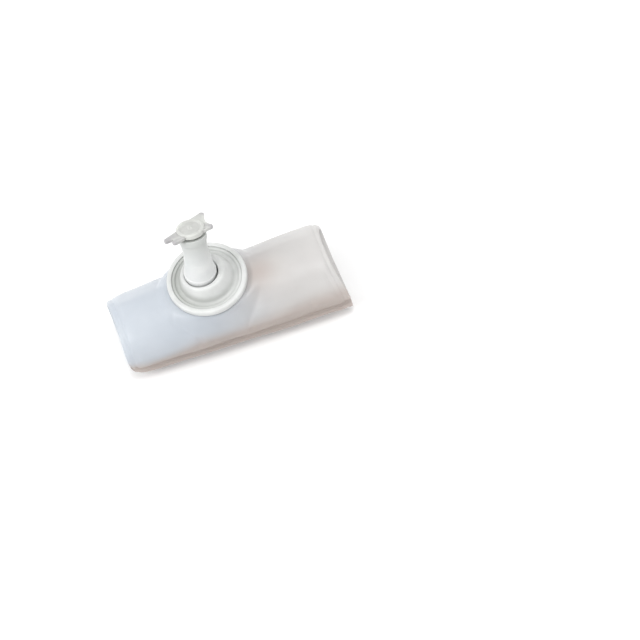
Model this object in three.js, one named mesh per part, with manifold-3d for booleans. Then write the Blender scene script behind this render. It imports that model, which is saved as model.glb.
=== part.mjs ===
// An inflatable finger splint, in millimetres: a double-walled air sleeve of clear film, with a valve on top.
// +X runs along the finger to the knuckle and +Z up through the valve. The sleeve lies on the plane Z = 0.
import * as THREE from "three";
import { mergeVertices } from "three/addons/utils/BufferGeometryUtils.js";
import Module from "manifold-3d";

// Air sleeve
const SLEEVE_LENGTH = 63;
const SLEEVE_WIDTH = 23.4; // of the section under the valve
const SLEEVE_HEIGHT = 18.8; // of the same section, before the floor flattens it
const SECTION_POWER = 2.35; // 2 is an ellipse, and more is squarer
const FLOOR_PRESS = 0.5; // how much of the height the floor flattens
const END_SLANT = THREE.MathUtils.degToRad(4); // of the two ends, with the far side nearer the fingertip
const FILM = 0.45;
const AIR_DEPTH = 1.6; // of the inflated chamber between the two films
const END_WELD = 2; // width of the flat band that closes the chamber at each end
const END_PUFF = 4; // length over which the films part, next to an end weld
const END_DIP = 0.4; // how far an end weld lies below the inflated surface

// Long seam, on the lower near side of the sleeve
const SEAM_ANGLE = THREE.MathUtils.degToRad(207.5); // of the section's parameter, 180 being the near side
const SEAM_SPREAD = THREE.MathUtils.degToRad(13); // of the valley that the weld pulls in
const SEAM_VALLEY = 0.5;
const SEAM_PINCH = 0.6; // how far the inner film comes out to the weld
const SEAM_FIN = 1.5;
const SEAM_ROOT = 0.3; // of the fin, inside the film

// Valve flange, welded to the outer film
const VALVE_ALONG = 0.442; // share of the sleeve's length, from the fingertip end
const VALVE_ASIDE = 1.8; // towards the far side
const WELD_GAP = 0.3;
const FLANGE_RADIUS = 11;
const FLANGE_PLATE = 0.8;
const FLANGE_RIM_WIDTH = 1.4;
const FLANGE_RIM_RISE = 0.7;
const COLLAR_BASE_RADIUS = 7.3;
const COLLAR_SHOULDER_RADIUS = 6.6;
const COLLAR_SHOULDER_RISE = 2.2;
const COLLAR_RISE = 3.9;
const COLLAR_LIP = 1.1; // wall at the socket's mouth
const PORT_RADIUS = 2.2;
const SKIRT = 4; // how far the film's lift under the flange reaches past it
const LIFT_FROM = 0.9; // share of the section's middle height where the lift starts, round the side
const LIFT_FULL = 1.95; // and where it is full

// Valve stem, a tapered tube that leans in the flange's soft collar
const COLLAR_LEAN = THREE.MathUtils.degToRad(5); // of the collar's mouth, towards the far side
const STEM_BEND = THREE.MathUtils.degToRad(17); // more, between the collar's mouth and the stem's neck
const STEM_ASIDE = 1.05; // of the stem's foot from the flange's middle, towards the fingertip
const STEM_LEAN = THREE.MathUtils.degToRad(5); // of the stem and its socket, towards the knuckle
const COLLAR_FOLLOW = 0.5; // share of the stem's step aside that the collar's outside takes at its mouth
const STEM_RADIUS = 4.4;
const STEM_PLAY = 0.4;
const STEM_INSERT = 2.4;
const STEM_BEAD_RISE = 1;
const STEM_BEAD_STEP = 0.2;
const NECK_RADIUS = 3.35;
const NECK_RISE = 9;
const LIP_RADIUS = 3.9;
const LIP_EDGE = 1.5;
const LIP_RISE = 13.9;
const BORE_RADIUS = 2;

// Winged cap, whose plug closes the stem's bore
const CAP_RADIUS = 3.85;
const CAP_THICKNESS = 1.4;
const CAP_GROOVE = 0.8; // between the stem's lip and the cap's disc
const HUB_RADIUS = 3;
const CAP_GAP = 0.3;
const WING_REACH = 7.9; // of the longest ear, from the disc's middle
const WING_TIP_RADIUS = 0.85;
const WING_THICKNESS = 1;
const WING_DROP = 0.3; // of a wing's top below the disc's top

const RING_POINTS = 38;
const BODY_STATIONS = 13;
const PUFF_STATIONS = 4;
const TURNED_SIDES = 36;
const BEND_STEPS = 4;
const CUT_MARGIN = 1;
const COLLAR_TOUCH = 0.01; // within this, a point lies on one of the collar's circles
const ANGLE_STEP = 0.05; // radians, for the film's direction at the seam

// The sleeve's outline from the fingertip end (0) to the knuckle end (1), as shares of its width and height.
const OUTLINE = [
  { at: 0, width: 0.905, height: 0.89 },
  { at: 0.14, width: 0.95, height: 0.94 },
  { at: 0.29, width: 0.99, height: 0.99 },
  { at: 0.45, width: 1, height: 1 },
  { at: 0.62, width: 1.01, height: 0.99 },
  { at: 0.82, width: 1.02, height: 1.02 },
  { at: 1, width: 1.02, height: 1.04 },
];

// The cap's two wings: their ears' turns in degrees from the sleeve's length. The ears' reaches, the notch's
// distance from the disc's middle and the root's width are shares of the longest ear's reach.
const WINGS = [
  { turns: [-11, 52], reaches: [0.75, 0.91], notch: 0.6, root: 0.86 },
  { turns: [198, 217], reaches: [1, 0.87], notch: 0.75, root: 0.58 },
];

// The flare from the stem's neck (0) to its lip (1): height, and how far out.
const FLARE = [
  { up: 0.4, out: 0.2 },
  { up: 0.8, out: 0.6 },
];

const wasm = await Module();
wasm.setup();

// A closed geometry as a solid that can be joined and cut.
function solidOf(geometry) {
  const bare = geometry.clone();
  bare.deleteAttribute("normal");
  bare.deleteAttribute("uv");
  const merged = mergeVertices(bare, 1e-4);
  return new wasm.Manifold(
    new wasm.Mesh({
      numProp: 3,
      vertProperties: merged.attributes.position.array,
      triVerts: new Uint32Array(merged.index.array),
    }),
  );
}

function geometryOf(solid) {
  const mesh = solid.getMesh();
  const geometry = new THREE.BufferGeometry();
  geometry.setAttribute("position", new THREE.BufferAttribute(mesh.vertProperties, 3));
  geometry.setIndex(new THREE.BufferAttribute(mesh.triVerts, 1));
  geometry.computeVertexNormals();
  return geometry;
}

// A closed solid through rings of points that all run the same way round, with flat ends.
function loft(rings) {
  const count = rings[0].length;
  const points = rings.flat();
  const faces = [];
  for (let i = 0; i + 1 < rings.length; i++) {
    for (let k = 0; k < count; k++) {
      const a = i * count + k;
      const b = i * count + ((k + 1) % count);
      faces.push(a, b, a + count, b, b + count, a + count);
    }
  }
  for (const end of [0, rings.length - 1]) {
    const middle = points.length;
    const sum = rings[end].reduce((total, p) => total.add(p), new THREE.Vector3());
    points.push(sum.divideScalar(count));
    for (let k = 0; k < count; k++) {
      const a = end * count + k;
      const b = end * count + ((k + 1) % count);
      faces.push(...(end === 0 ? [middle, b, a] : [middle, a, b]));
    }
  }
  const geometry = new THREE.BufferGeometry().setFromPoints(points);
  geometry.setIndex(faces);
  return geometry;
}

// A solid of revolution about +Z from [radius, height] pairs that close on themselves or on the axis.
function turned(profile) {
  const points = profile.map(([radius, height]) => new THREE.Vector2(radius, height));
  return new THREE.LatheGeometry(points, TURNED_SIDES).rotateX(Math.PI / 2);
}

// Bends what lies above a height and inside a radius towards +Y, by an angle over a length.
function bendBack(geometry, from, length, angle, inside = Infinity) {
  const bendRadius = length / angle;
  const at = geometry.attributes.position;
  for (let i = 0; i < at.count; i++) {
    const rise = at.getZ(i) - from;
    if (rise > 0 && Math.hypot(at.getX(i), at.getY(i)) < inside) {
      const turn = Math.min(rise / length, 1) * angle;
      const arm = bendRadius - at.getY(i);
      const beyond = Math.max(0, rise - length);
      at.setY(i, bendRadius - arm * Math.cos(turn) + beyond * Math.sin(angle));
      at.setZ(i, from + arm * Math.sin(turn) + beyond * Math.cos(angle));
    }
  }
}

// A group whose frame stands where the middle of such a bend ends.
function bendEnd(from, length, angle) {
  const bendRadius = length / angle;
  const group = new THREE.Group();
  group.position.set(0, bendRadius * (1 - Math.cos(angle)), from + bendRadius * Math.sin(angle));
  group.rotation.x = -angle;
  return group;
}

function mesh(name, geometry, material) {
  const made = new THREE.Mesh(geometry, material);
  made.name = name;
  return made;
}

const easeRound = (share) => Math.sqrt(1 - (1 - THREE.MathUtils.clamp(share, 0, 1)) ** 2);

// Distance along X of a share of the sleeve's length, measured from its middle.
const alongSleeve = (share) => (share - 0.5) * SLEEVE_LENGTH;

// The outline's width and height at a place along X, on a smooth curve through the table.
function outlineAt(x) {
  const share = THREE.MathUtils.clamp(x / SLEEVE_LENGTH + 0.5, 0, 1);
  const next = Math.max(1, OUTLINE.findIndex((row) => row.at >= share));
  const [from, to] = [OUTLINE[next - 1], OUTLINE[next]];
  const before = OUTLINE[Math.max(0, next - 2)];
  const after = OUTLINE[Math.min(OUTLINE.length - 1, next + 1)];
  const span = to.at - from.at;
  const part = (share - from.at) / span;
  const slope = (a, b, column) => ((b[column] - a[column]) / (b.at - a.at)) * span;
  const value = (column) => {
    const start = slope(before, to, column);
    const end = slope(from, after, column);
    const rise = to[column] - from[column];
    return (
      from[column] +
      part * (start + part * (3 * rise - 2 * start - end + part * (start + end - 2 * rise)))
    );
  };
  return { width: value("width") * SLEEVE_WIDTH, height: value("height") * SLEEVE_HEIGHT };
}

// How far the films have parted at a place along X: 0 at an end weld, and 1 where the chamber is full.
function puffAt(x) {
  const fromWeld = SLEEVE_LENGTH / 2 - Math.abs(x) - END_WELD;
  return easeRound(fromWeld / END_PUFF);
}

// 1 on the seam's line and 0 away from it.
function nearSeam(angle) {
  const off = THREE.MathUtils.euclideanModulo(angle - SEAM_ANGLE + Math.PI, 2 * Math.PI) - Math.PI;
  return Math.exp(-((off / SEAM_SPREAD) ** 2));
}

// A point of the section at x, an angle round it and an inset from the inflated outside.
function sectionPoint(x, angle, inset) {
  const { width, height } = outlineAt(x);
  const middle = height / 2 - FLOOR_PRESS;
  const bulge = (value) => Math.sign(value) * Math.abs(value) ** (2 / SECTION_POWER);
  const y = (width / 2 - inset) * bulge(Math.cos(angle));
  const z = middle + (height / 2 - inset) * bulge(Math.sin(angle));
  return new THREE.Vector3(x - y * Math.tan(END_SLANT), y, Math.max(z, inset));
}

const VALVE_X = alongSleeve(VALVE_ALONG);
const ringAngles = Array.from(
  { length: RING_POINTS },
  (_, k) => SEAM_ANGLE + (k * 2 * Math.PI) / RING_POINTS,
);

// Height of the sleeve's top line at x.
const topAt = (x) => sectionPoint(x, Math.PI / 2, 0).z;

// The flange's seat is level with the highest point of the film under it.
const seatHeight = Math.max(
  ...[-1, -0.5, 0, 0.5, 1].map((share) => topAt(VALVE_X + share * FLANGE_RADIUS)),
);

// The outer film at a depth below its outside: pulled in at the welds, and lifted to the flange's seat.
function outerFilmPoint(x, angle, depth) {
  const dip = END_DIP * (1 - puffAt(x)) + SEAM_VALLEY * nearSeam(angle);
  const surface = sectionPoint(x, angle, dip);
  const reach = Math.hypot(surface.x - VALVE_X, surface.y - VALVE_ASIDE);
  const under = 1 - THREE.MathUtils.smoothstep(reach, FLANGE_RADIUS, FLANGE_RADIUS + SKIRT);
  const middle = topAt(x) / 2;
  const high = THREE.MathUtils.smoothstep(surface.z, middle * LIFT_FROM, middle * LIFT_FULL);
  const point = depth > 0 ? sectionPoint(x, angle, dip + depth) : surface;
  point.z += (seatHeight - surface.z) * under * high;
  return point;
}

// The inner film, at a depth inside the chamber's inner face.
function innerFilmPoint(x, angle, depth) {
  const puff = puffAt(x);
  const air = puff * (AIR_DEPTH - SEAM_PINCH * nearSeam(angle));
  return sectionPoint(x, angle, END_DIP * (1 - puff) + FILM + air + depth);
}

const ringAt = (x, pointAt, depth) => ringAngles.map((angle) => pointAt(x, angle, depth));

// Places along X between the end welds: even steps, and closer ones where the films part.
function stations() {
  const weld = SLEEVE_LENGTH / 2 - END_WELD;
  const full = weld - END_PUFF;
  const puffs = Array.from({ length: PUFF_STATIONS - 1 }, (_, k) => {
    const share = 1 - Math.sin(((k + 1) * Math.PI) / 2 / PUFF_STATIONS);
    return weld - END_PUFF * share;
  });
  const right = [full, ...puffs];
  const body = Array.from(
    { length: BODY_STATIONS - 1 },
    (_, k) => full * (((k + 1) * 2) / BODY_STATIONS - 1),
  );
  return [...right.map((x) => -x).reverse(), ...body, ...right];
}

// The fin of welded film that stands out along the seam, rooted in the outer film.
function seamFin(places) {
  const rings = places.map((x) => {
    const foot = outerFilmPoint(x, SEAM_ANGLE, 0);
    const before = sectionPoint(x, SEAM_ANGLE - ANGLE_STEP, 0);
    const along = sectionPoint(x, SEAM_ANGLE + ANGLE_STEP, 0).sub(before).normalize();
    const out = new THREE.Vector3(0, along.z, -along.y);
    const corner = (height, side) =>
      foot.clone().addScaledVector(out, height).addScaledVector(along, side * FILM);
    return [corner(-SEAM_ROOT, -1), corner(SEAM_FIN, -1), corner(SEAM_FIN, 1), corner(-SEAM_ROOT, 1)];
  });
  return loft(rings);
}

// The air sleeve: two films with a chamber between them, open to the valve through a port under the flange.
function airSleeve() {
  const inside = stations();
  const end = SLEEVE_LENGTH / 2;
  const weld = end - END_WELD;
  const places = [-end, -weld, ...inside, weld, end];
  const outside = solidOf(loft(places.map((x) => ringAt(x, outerFilmPoint, 0))));
  const fin = solidOf(seamFin(places));
  const core = [-weld, ...inside.slice(1, -1), weld];
  const hollowPlaces = [-end - CUT_MARGIN, ...core, end + CUT_MARGIN];
  const hollow = solidOf(loft(hollowPlaces.map((x) => ringAt(x, innerFilmPoint, FILM))));
  const chamberOuter = solidOf(loft(inside.map((x) => ringAt(x, outerFilmPoint, FILM))));
  const chamberInner = solidOf(loft(core.map((x) => ringAt(x, innerFilmPoint, 0))));
  const portDepth = FILM + AIR_DEPTH / 2 + CUT_MARGIN;
  const port = new THREE.CylinderGeometry(PORT_RADIUS, PORT_RADIUS, portDepth, TURNED_SIDES)
    .rotateX(Math.PI / 2)
    .translate(VALVE_X, VALVE_ASIDE, seatHeight + CUT_MARGIN - portDepth / 2);
  return geometryOf(
    outside
      .add(fin)
      .subtract(hollow)
      .subtract(chamberOuter.subtract(chamberInner))
      .subtract(solidOf(port)),
  );
}

// Moves the collar towards the fingertip with the stem: its socket wholly, its outside more near the mouth.
function moveCollar(geometry, socket, mouth, rimInside) {
  const at = geometry.attributes.position;
  for (let i = 0; i < at.count; i++) {
    const radius = Math.hypot(at.getX(i), at.getY(i));
    const rise = at.getZ(i) - FLANGE_PLATE;
    const inSocket = radius > PORT_RADIUS + COLLAR_TOUCH && radius < socket + COLLAR_TOUCH;
    if (inSocket && rise > -COLLAR_TOUCH) {
      at.setX(i, at.getX(i) - STEM_ASIDE - (mouth - at.getZ(i)) * Math.tan(STEM_LEAN));
    } else if (rise > COLLAR_TOUCH && radius < rimInside - COLLAR_TOUCH) {
      const outward = Math.min((radius - socket) / COLLAR_LIP, 1);
      const follow = THREE.MathUtils.lerp(1, COLLAR_FOLLOW, outward);
      at.setX(i, at.getX(i) - (STEM_ASIDE * follow * rise) / COLLAR_RISE);
    }
  }
}

// The soft flange: a plate with a raised rim, and a collar that moves over and bends to the stem's lean.
function valveFlange() {
  const socket = STEM_RADIUS + STEM_PLAY;
  const rimTop = FLANGE_PLATE + FLANGE_RIM_RISE;
  const shoulder = FLANGE_PLATE + COLLAR_SHOULDER_RISE;
  const mouth = FLANGE_PLATE + COLLAR_RISE;
  const round = FLANGE_RIM_WIDTH / 3;
  const geometry = turned([
    [PORT_RADIUS, 0],
    [FLANGE_RADIUS - round / 2, 0],
    [FLANGE_RADIUS, round / 2],
    [FLANGE_RADIUS, rimTop - round],
    [FLANGE_RADIUS - round / 3, rimTop - round / 3],
    [FLANGE_RADIUS - round, rimTop],
    [FLANGE_RADIUS - FLANGE_RIM_WIDTH + round, rimTop],
    [FLANGE_RADIUS - FLANGE_RIM_WIDTH, rimTop - round],
    [FLANGE_RADIUS - FLANGE_RIM_WIDTH, FLANGE_PLATE],
    [COLLAR_BASE_RADIUS, FLANGE_PLATE],
    [(COLLAR_BASE_RADIUS + COLLAR_SHOULDER_RADIUS) / 2, FLANGE_PLATE + COLLAR_SHOULDER_RISE / 4],
    [COLLAR_SHOULDER_RADIUS, shoulder - COLLAR_SHOULDER_RISE / 4],
    [COLLAR_SHOULDER_RADIUS - COLLAR_LIP / 4, shoulder],
    [socket + COLLAR_LIP, mouth - COLLAR_LIP / 2],
    [socket + COLLAR_LIP / 2, mouth],
    [socket, mouth - COLLAR_LIP / 2],
    [socket, FLANGE_PLATE],
    [PORT_RADIUS, FLANGE_PLATE],
    [PORT_RADIUS, 0],
  ]);
  const rimInside = FLANGE_RADIUS - FLANGE_RIM_WIDTH;
  moveCollar(geometry, socket, mouth, rimInside);
  bendBack(geometry, FLANGE_PLATE, COLLAR_RISE, COLLAR_LEAN, (rimInside + COLLAR_BASE_RADIUS) / 2);
  return geometry;
}

// Points from the foot of the stem's bend to its neck, both ends included.
function alongBend(footRadius, foot, neckRadius) {
  return Array.from({ length: BEND_STEPS + 1 }, (_, k) => {
    const share = k / BEND_STEPS;
    return [
      THREE.MathUtils.lerp(footRadius, neckRadius, share),
      THREE.MathUtils.lerp(foot, NECK_RISE, share),
    ];
  });
}

// The stem, with 0 at the collar's mouth and its neck bent back.
function valveStem() {
  const cone = STEM_RADIUS - STEM_BEAD_STEP;
  const lipFoot = LIP_RISE - LIP_EDGE;
  const round = LIP_EDGE / 5;
  const geometry = turned([
    [BORE_RADIUS, -STEM_INSERT],
    [STEM_RADIUS, -STEM_INSERT],
    [STEM_RADIUS, STEM_BEAD_RISE - STEM_BEAD_STEP],
    ...alongBend(cone, STEM_BEAD_RISE, NECK_RADIUS),
    ...FLARE.map(({ up, out }) => [
      THREE.MathUtils.lerp(NECK_RADIUS, LIP_RADIUS, out),
      THREE.MathUtils.lerp(NECK_RISE, lipFoot, up),
    ]),
    [LIP_RADIUS, lipFoot + round],
    [LIP_RADIUS, LIP_RISE - round],
    [LIP_RADIUS - round, LIP_RISE],
    [BORE_RADIUS, LIP_RISE],
    ...alongBend(BORE_RADIUS, 0, BORE_RADIUS).reverse(),
    [BORE_RADIUS, -STEM_INSERT],
  ]);
  bendBack(geometry, 0, NECK_RISE, STEM_BEND);
  return geometry;
}

const polar = (turn, radius) => new THREE.Vector2(radius * Math.cos(turn), radius * Math.sin(turn));

// A wing's flat outline about the disc's middle: two round ears with a notch between them.
function wingShape(wing) {
  const [first, second] = wing.turns.map(THREE.MathUtils.degToRad);
  const middle = (first + second) / 2;
  const quarter = Math.PI / 2;
  const firstEar = polar(first, wing.reaches[0] * WING_REACH - WING_TIP_RADIUS);
  const secondEar = polar(second, wing.reaches[1] * WING_REACH - WING_TIP_RADIUS);
  const leave = polar(first + quarter / 2, WING_TIP_RADIUS).add(firstEar);
  const arrive = polar(second - quarter / 2, WING_TIP_RADIUS).add(secondEar);
  const between = leave.clone().lerp(arrive, 0.5);
  const control = polar(middle, 2 * wing.notch * WING_REACH).sub(between);
  const halfRoot = (wing.root * WING_REACH) / 2;
  const firstFoot = polar(middle - quarter, halfRoot);
  const secondFoot = polar(middle + quarter, halfRoot);
  const shape = new THREE.Shape();
  shape.moveTo(firstFoot.x, firstFoot.y);
  shape.absarc(firstEar.x, firstEar.y, WING_TIP_RADIUS, first - quarter, first + quarter / 2, false);
  shape.quadraticCurveTo(control.x, control.y, arrive.x, arrive.y);
  shape.absarc(secondEar.x, secondEar.y, WING_TIP_RADIUS, second - quarter / 2, second + quarter, false);
  shape.lineTo(secondFoot.x, secondFoot.y);
  shape.closePath();
  return shape;
}

// The cap, with 0 at the stem's lip.
function valveCap() {
  const top = CAP_GROOVE + CAP_THICKNESS;
  const edge = CAP_THICKNESS / 4;
  const plugRadius = BORE_RADIUS - CAP_GAP;
  const plugLength = LIP_RISE - NECK_RISE - CAP_GAP;
  const body = solidOf(
    turned([
      [0, -plugLength],
      [plugRadius - edge, -plugLength],
      [plugRadius, edge - plugLength],
      [plugRadius, CAP_GAP],
      [HUB_RADIUS, CAP_GAP],
      [HUB_RADIUS, CAP_GROOVE],
      [CAP_RADIUS - edge, CAP_GROOVE],
      [CAP_RADIUS, CAP_GROOVE + edge],
      [CAP_RADIUS, top - edge],
      [CAP_RADIUS - edge, top],
      [0, top],
    ]),
  );
  const wingFoot = top - WING_DROP - WING_THICKNESS;
  const flat = { depth: WING_THICKNESS, bevelEnabled: false, curveSegments: 6 };
  return geometryOf(
    WINGS.reduce((joined, wing) => {
      const plate = new THREE.ExtrudeGeometry(wingShape(wing), flat).translate(0, 0, wingFoot);
      return joined.add(solidOf(plate));
    }, body),
  );
}

const filmMaterial = new THREE.MeshStandardMaterial({
  color: 0xdbe3ec,
  roughness: 0.35,
  metalness: 0,
  transparent: true,
  opacity: 0.7,
});
const softMaterial = new THREE.MeshStandardMaterial({ color: 0xe4e6e1, roughness: 0.4, metalness: 0 });
const stemMaterial = new THREE.MeshStandardMaterial({ color: 0xebecea, roughness: 0.35, metalness: 0 });
const capMaterial = new THREE.MeshStandardMaterial({ color: 0xe0e1dc, roughness: 0.45, metalness: 0 });

const splint = new THREE.Group();
splint.add(mesh("air_sleeve", airSleeve(), filmMaterial));

const valve = new THREE.Group();
valve.position.set(VALVE_X, VALVE_ASIDE, seatHeight + WELD_GAP);
valve.add(mesh("valve_flange", valveFlange(), softMaterial));
splint.add(valve);

// The stem stands in the collar's mouth and leans with it, and the cap sits on the stem's bent end.
const collarMouth = bendEnd(FLANGE_PLATE, COLLAR_RISE, COLLAR_LEAN);
const stemFoot = new THREE.Group();
stemFoot.position.x = -STEM_ASIDE;
stemFoot.rotation.y = STEM_LEAN;
stemFoot.add(mesh("valve_stem", valveStem(), stemMaterial));
collarMouth.add(stemFoot);
valve.add(collarMouth);

const stemNeck = bendEnd(0, NECK_RISE, STEM_BEND);
const cap = mesh("valve_cap", valveCap(), capMaterial);
cap.position.z = LIP_RISE - NECK_RISE;
stemNeck.add(cap);
stemFoot.add(stemNeck);

export default splint;
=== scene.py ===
import math

import bpy
import numpy as np
from mathutils import Matrix, Vector


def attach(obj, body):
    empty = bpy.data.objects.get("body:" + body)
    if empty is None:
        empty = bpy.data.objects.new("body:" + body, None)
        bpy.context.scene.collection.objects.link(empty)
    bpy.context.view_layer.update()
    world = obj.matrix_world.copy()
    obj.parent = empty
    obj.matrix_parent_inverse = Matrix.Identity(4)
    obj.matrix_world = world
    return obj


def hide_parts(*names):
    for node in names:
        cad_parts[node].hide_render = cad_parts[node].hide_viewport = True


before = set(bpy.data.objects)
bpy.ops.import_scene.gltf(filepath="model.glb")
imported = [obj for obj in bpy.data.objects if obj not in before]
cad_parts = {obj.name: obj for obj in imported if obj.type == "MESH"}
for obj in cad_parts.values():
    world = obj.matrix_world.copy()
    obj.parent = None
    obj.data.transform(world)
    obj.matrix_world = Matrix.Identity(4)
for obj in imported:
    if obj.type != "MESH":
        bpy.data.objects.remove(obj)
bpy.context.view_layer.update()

# Lengths are in millimetres, and meshes are scaled to metres as they are made.
MM = 0.001

# Air sleeve, as in the part's source
SLEEVE_LENGTH = 63
SLEEVE_WIDTH = 23.4
SLEEVE_HEIGHT = 18.8
SECTION_POWER = 2.35
FLOOR_PRESS = 0.5
END_SLANT = math.radians(4)
FILM = 0.45
AIR_DEPTH = 1.6
END_WELD = 2
END_PUFF = 4
END_DIP = 0.4
SEAM_ANGLE = math.radians(207.5)
SEAM_SPREAD = math.radians(13)
SEAM_VALLEY = 0.5
SEAM_PINCH = 0.6
SEAM_FIN = 1.5
OUTLINE = [
    {"at": 0, "width": 0.905, "height": 0.89},
    {"at": 0.14, "width": 0.95, "height": 0.94},
    {"at": 0.29, "width": 0.99, "height": 0.99},
    {"at": 0.45, "width": 1, "height": 1},
    {"at": 0.62, "width": 1.01, "height": 0.99},
    {"at": 0.82, "width": 1.02, "height": 1.02},
    {"at": 1, "width": 1.02, "height": 1.04},
]

# Film detail that the part's solids leave out
# Each end's edge bows in at a turn round the section, from an edge that stands "over" past the straight end.
END_BOWS = [
    {"side": 1, "bow": 2.6, "over": 0, "turn": 100, "spread": 75},
    {"side": -1, "bow": 0.9, "over": 0.45, "turn": 80, "spread": 60},
]
END_BOW_POWER = 4  # how late along the sleeve the bows set in
# The corners of the two ends are rounded, by "dip" over a length.
END_ROUNDS = [
    {"side": 1, "turn": 28, "spread": 24, "dip": 1.2, "length": 1.8},
    {"side": -1, "turn": 28, "spread": 20, "dip": 0.5, "length": 0.9},
    {"side": -1, "turn": 200, "spread": 22, "dip": 1.2, "length": 2},
]
# Lines that the weld tool leaves along the end bands, placed and sized as shares of the band's width
WELD_LINES = [
    {"way": 1, "at": 0.45, "spread": 0.1},
    {"way": -1, "at": 0.85, "spread": 0.09},
]
WELD_LINE_RISE = 0.07
# Broad, soft waves of a film under light pressure
SWELL = 0.09
SWELL_LONG = 37
SWELL_SHORT = 19
SWELL_TURN = 9
SWELL_SHARES = (0.7, 0.5, 0.35)
# Folds of the inner film, which the air squeezes: sharp ridges round the section, and finer ones between them
INNER_FOLD = 0.22
FOLD_RIDGES = 13
FOLD_SHARPNESS = 0.6
FOLD_WANDER = 0.5
FOLD_WANDER_LENGTH = 8
FOLD_FINE_RIDGES = 17
FOLD_FINE_SHARE = 0.4
FOLD_FINE_LENGTH = 6
FOLD_FINE_WANDER = 0.7
FOLD_FINE_WANDER_LENGTH = 5

# The seam's fin: half of its profile, from its root outwards, with thickness as a share of FIN_HALF
FIN_HALF = FILM * 0.9
FIN_HALF_PROFILE = [
    {"out": -0.35, "thick": 1},
    {"out": 0.35, "thick": 1},
    {"out": 0.5, "thick": 0.7},
    {"out": 0.65, "thick": 1},
    {"out": 1, "thick": 1},
    {"out": 1.12, "thick": 0.72},
    {"out": 1.24, "thick": 0.95},
    {"out": SEAM_FIN - 0.12, "thick": 0.9},
    {"out": SEAM_FIN, "thick": 0.4},
]
FIN_SWAYS = [
    {"sway": 0.1, "length": 4.3, "start": 0},
    {"sway": 0.06, "length": 1.9, "start": 1},
]
FIN_INSET = 0.1  # at both ends of the sleeve
FIN_ROUND = 2.2  # length over which it rises at the fingertip end
FIN_DROOP = 0.5  # more of it, over its last FIN_DROOP_LENGTH at the knuckle end
FIN_DROOP_LENGTH = 7
FIN_TURN_STEP = 0.05  # radians to each side of the seam, to find which way is out

# Valve, as in the part's source
VALVE_ALONG = 0.442
VALVE_ASIDE = 1.8
WELD_GAP = 0.3
SKIRT = 4
LIFT_FROM = 0.9
LIFT_FULL = 1.95
FLANGE_RADIUS = 11
FLANGE_PLATE = 0.8
FLANGE_RIM_WIDTH = 1.4
FLANGE_RIM_RISE = 0.7
COLLAR_BASE_RADIUS = 7.3
COLLAR_SHOULDER_RADIUS = 6.6
COLLAR_SHOULDER_RISE = 2.2
COLLAR_RISE = 3.9
COLLAR_LIP = 1.1
PORT_RADIUS = 2.2
COLLAR_LEAN = math.radians(5)
STEM_BEND = math.radians(17)
STEM_ASIDE = 1.05
STEM_LEAN = math.radians(5)
COLLAR_FOLLOW = 0.5
STEM_RADIUS = 4.4
STEM_PLAY = 0.4
STEM_INSERT = 2.4
NECK_RADIUS = 3.35
NECK_RISE = 9
LIP_RADIUS = 3.9
LIP_EDGE = 1.5
LIP_RISE = 13.9
BORE_RADIUS = 2
CAP_RADIUS = 3.85
CAP_THICKNESS = 1.4
CAP_GROOVE = 0.8
CAP_GAP = 0.3
HUB_RADIUS = 3
WING_REACH = 7.9
WING_TIP_RADIUS = 0.85
WING_THICKNESS = 1
WING_DROP = 0.3
# Turns of each wing's two ears in degrees, and the rest as shares of WING_REACH
WINGS = [
    {"turns": (-11, 52), "reaches": (0.75, 0.91), "notch": 0.6, "root": 0.86},
    {"turns": (198, 217), "reaches": (1, 0.87), "notch": 0.75, "root": 0.58},
]

# Valve detail that the part's solids leave out
FLANGE_OFF_FILM = 0.02
RIM_STEP = 0.15
RING_WIDTH = 1  # a low ring inside the flange's rim, with a slope down to the trough
RING_RISE = 0.4
RING_SLOPE = 0.2
# Rounding takes a corner in, so the collar's corners stand further out, and its shoulder lower.
COLLAR_BASE_OUT = 0.2
COLLAR_SHOULDER_OUT = 0.15
COLLAR_SHOULDER_DOWN = 0.2
MOUTH_DRAW = 0.3  # how far the collar's mouth is drawn in to the stem, at a turn about it
MOUTH_DRAW_TURN = math.radians(165)
MOUTH_DRAW_DEPTH = 1.2
MOUTH_DRAW_FROM = 0.1
BEAD_RISE = 0.9  # the stem's foot, up to a small step
BEAD_STEP = 0.15
BEAD_INSET = 0.2
BAND_ALONG = 0.62  # a fine step in the stem's taper, as a share of NECK_RISE
BAND_HEIGHT = 0.12
BAND_INSET = 0.1
FLARE_ALONG = 0.75  # where the lip's flare gets steeper, as a share of the flare's height
FLARE_INSET = 0.35
CAP_RIM_WIDTH = 0.85
CAP_DISH = 0.22
CAP_DISH_SLOPE = 0.3
CAP_SPOT_RADIUS = 0.7
CAP_SPOT_SLOPE = 0.15
CAP_SPOT_RISE = 0.1
NEAR_AXIS = 0.02
WING_ROUNDING = 0.25  # share of WING_THICKNESS

# Air and spare film, simulated as cloth on every CLOTH_STEP-th point of the outer film
CLOTH_STEP = 2
CLOTH_SCALE = 20  # the solver works better on something this much larger
CLOTH_FRAMES = 20
CLOTH_PRESSURE = 1
CLOTH_SPARE = 0.016  # how much longer the film is than the form it fills, as a share
CLOTH_STIFF = 15
CLOTH_BEND = 0.3
CLOTH_MOST = 0.4  # furthest that a point may move
# The film comes free over these lengths from its end welds and the flange, and between these two heights
CLOTH_FREE_END = 0.6
CLOTH_FREE_FLANGE = 1
CLOTH_FREE_FLOOR = (0.1, 0.8)

# Mesh fineness
AROUND = 240
OUTER_STATIONS = 281
INNER_STATIONS = 121
EDGE_STEPS = 7
FIN_STATIONS = 160
TURNED_SIDES = 144
ROUNDING_STEPS = 5
EAR_STEPS = 18
LONGEST_STRAIGHT = 0.6  # of a turned profile that has to bend
ROUNDING_SHARE = 2.05  # a rounding takes at most a side's length divided by this
LEAST_ROUNDING = 1e-4
TINY = 1e-9

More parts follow.
